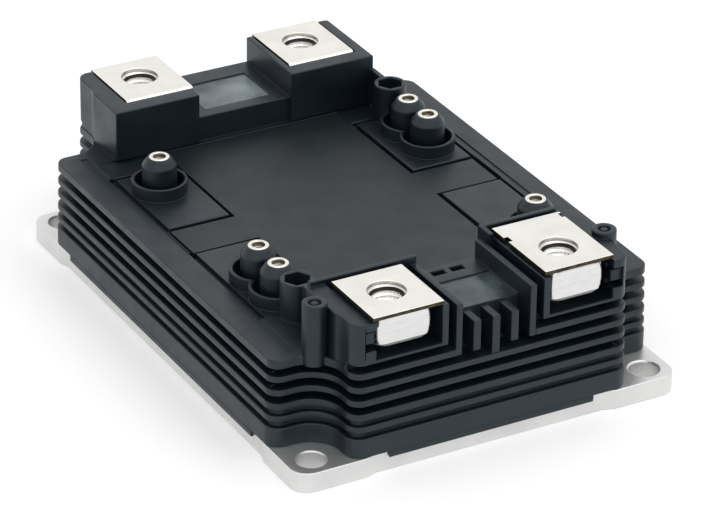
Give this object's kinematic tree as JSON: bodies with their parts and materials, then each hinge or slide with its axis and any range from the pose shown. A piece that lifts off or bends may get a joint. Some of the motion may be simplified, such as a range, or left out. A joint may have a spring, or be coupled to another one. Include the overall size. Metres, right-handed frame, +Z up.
{
  "type": "igbt module",
  "caption": "High-voltage power switch module: ribbed plastic housing on a nickel-plated base plate, flat main terminals over nut pockets and small threaded posts.",
  "frame": {"origin": "centre of the base plate's underside, midway between its four screw holes", "axes": "+X along the short side, +Y along the long side towards the two towers, +Z up from the heatsink face"},
  "size_m": [0.1, 0.143, 0.04],
  "materials": {
    "nickel_plate": "satin",
    "housing": "satin",
    "lid": "satin",
    "terminal_nickel": "satin",
    "nut_steel": "satin",
    "insert_nickel": "polished",
    "ceramic": "matte",
    "copper": "satin",
    "switch_silicon": "polished",
    "diode_silicon": "polished",
    "bond_aluminium": "satin",
    "board": "gloss",
    "gel": "gloss",
    "seal": "matte"
  },
  "bodies": {
    "root": {"base_plate": "nickel_plate", "housing_frame": "housing", "lid": "lid", "seal_bead": "seal", "dc_terminal_left": "terminal_nickel", "dc_terminal_right": "terminal_nickel", "ac_terminal_left": "terminal_nickel", "ac_terminal_right": "terminal_nickel", "dc_nut_left": "nut_steel", "dc_nut_right": "nut_steel", "ac_nut_left": "nut_steel", "ac_nut_right": "nut_steel", "aux_insert_left_front": "insert_nickel", "aux_insert_left_middle": "insert_nickel", "aux_insert_left_rear": "insert_nickel", "aux_insert_right_front": "insert_nickel", "aux_insert_right_middle": "insert_nickel", "aux_insert_right_rear": "insert_nickel", "aux_post_left_front": "housing", "aux_post_left_middle": "housing", "aux_post_left_rear": "housing", "aux_post_right_front": "housing", "aux_post_right_middle": "housing", "aux_post_right_rear": "housing", "substrate_front_left": "ceramic", "tracks_front_left": "copper", "switch_chips_front_left": "switch_silicon", "diode_chips_front_left": "diode_silicon", "bonds_front_left": "bond_aluminium", "substrate_front_right": "ceramic", "tracks_front_right": "copper", "switch_chips_front_right": "switch_silicon", "diode_chips_front_right": "diode_silicon", "bonds_front_right": "bond_aluminium", "substrate_rear_left": "ceramic", "tracks_rear_left": "copper", "switch_chips_rear_left": "switch_silicon", "diode_chips_rear_left": "diode_silicon", "bonds_rear_left": "bond_aluminium", "substrate_rear_right": "ceramic", "tracks_rear_right": "copper", "switch_chips_rear_right": "switch_silicon", "diode_chips_rear_right": "diode_silicon", "bonds_rear_right": "bond_aluminium", "gate_board": "board", "gel_fill": "gel"}
  },
  "joints": []
}
